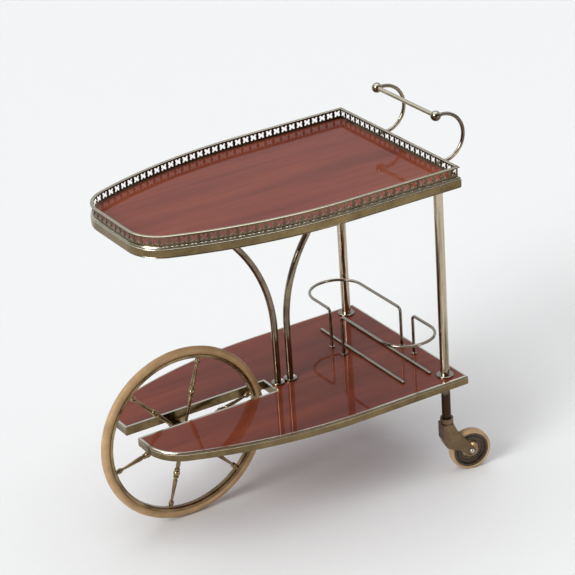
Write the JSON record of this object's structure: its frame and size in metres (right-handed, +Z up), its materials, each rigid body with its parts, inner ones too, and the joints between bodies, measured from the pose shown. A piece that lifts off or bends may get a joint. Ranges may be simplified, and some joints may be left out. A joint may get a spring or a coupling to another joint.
{
  "type": "bar cart",
  "caption": "Two-tier bar cart with a pierced gallery, a bottle rack, a bowed handle, one large spoked front wheel in a slot and two rear casters.",
  "frame": {"origin": "centre of the footprint on the floor", "axes": "+Z up, +X towards the handle end, -X towards the large front wheel, -Y the near long side"},
  "size_m": [0.7806, 0.41, 0.7262],
  "materials": {
    "lacquered_mahogany": "high gloss lacquer over red-brown veneer",
    "aged_brass_band": "aged olive brass, lightly polished on its edges",
    "gallery_brass": "aged brass, dark in the piercings",
    "tube_brass": "browned polished brass tube",
    "wheel_brass": "dark aged brass, bright on high points",
    "dark_bronze": "dark bronze patina",
    "caster_core": "dark brown lacquered metal",
    "tan_rubber": "matte tan solid rubber",
    "steel_hardware": "plated steel"
  },
  "bodies": {
    "frame": {"upper_panel": "lacquered_mahogany", "lower_panel": "lacquered_mahogany", "upper_edge_band": "aged_brass_band", "lower_edge_band": "aged_brass_band", "slot_lining": "aged_brass_band", "gallery_rear": "gallery_brass", "gallery_near": "gallery_brass", "gallery_far": "gallery_brass", "gallery_front": "gallery_brass", "gallery_rail": "gallery_brass", "post_near": "tube_brass", "post_far": "tube_brass", "centre_tube_front": "tube_brass", "centre_tube_rear": "tube_brass", "handle_arm_near": "tube_brass", "handle_arm_far": "tube_brass", "handle_grip": "tube_brass", "handle_ball_near": "tube_brass", "handle_ball_far": "tube_brass", "rack_wire_far": "tube_brass", "rack_wire_near": "tube_brass", "rest_bar_front": "tube_brass", "rest_bar_rear": "tube_brass", "post_collar_near": "tube_brass", "post_collar_far": "tube_brass", "post_flange_near": "tube_brass", "post_flange_far": "tube_brass", "centre_flange_front": "tube_brass", "centre_flange_rear": "tube_brass", "centre_foot_front": "tube_brass", "centre_foot_rear": "tube_brass", "handle_rosettes": "tube_brass", "rack_feet": "tube_brass", "axle_bracket_near": "wheel_brass", "axle_bracket_far": "wheel_brass", "axle_nuts": "steel_hardware", "axle_washers": "steel_hardware", "front_axle": "steel_hardware", "tray_screws": "steel_hardware", "stem_socket_near": "steel_hardware", "stem_socket_far": "steel_hardware"},
    "front_wheel": {"front_tyre": "tan_rubber", "front_rim": "wheel_brass", "front_hub": "wheel_brass", "spoke_1": "wheel_brass", "spoke_2": "wheel_brass", "spoke_3": "wheel_brass", "spoke_4": "wheel_brass", "spoke_5": "wheel_brass", "spoke_6": "wheel_brass"},
    "caster_swivel_near": {"caster_fork_near": "dark_bronze", "caster_stem_near": "steel_hardware", "caster_axle_near": "steel_hardware"},
    "caster_wheel_near": {"caster_core_near": "caster_core", "caster_tyre_near": "tan_rubber"},
    "caster_swivel_far": {"caster_fork_far": "dark_bronze", "caster_stem_far": "steel_hardware", "caster_axle_far": "steel_hardware"},
    "caster_wheel_far": {"caster_core_far": "caster_core", "caster_tyre_far": "tan_rubber"}
  },
  "joints": [
    {"name": "front_wheel_roll", "type": "hinge", "parent": "frame", "child": "front_wheel", "pos_m": [-0.21335, 0, 0.177], "axis": [0, 1, 0], "continuous": true},
    {"name": "near_caster_swivel", "type": "hinge", "parent": "frame", "child": "caster_swivel_near", "pos_m": [0.27265, -0.176, 0.122], "axis": [0, 0, 1], "continuous": true},
    {"name": "near_caster_roll", "type": "hinge", "parent": "caster_swivel_near", "child": "caster_wheel_near", "pos_m": [0.31765, -0.18556, 0.042], "axis": [0.2079, 0.9781, 0], "continuous": true},
    {"name": "far_caster_swivel", "type": "hinge", "parent": "frame", "child": "caster_swivel_far", "pos_m": [0.27265, 0.176, 0.122], "axis": [0, 0, 1], "continuous": true},
    {"name": "far_caster_roll", "type": "hinge", "parent": "caster_swivel_far", "child": "caster_wheel_far", "pos_m": [0.31795, 0.18399, 0.042], "axis": [-0.1736, 0.9848, 0], "continuous": true}
  ]
}
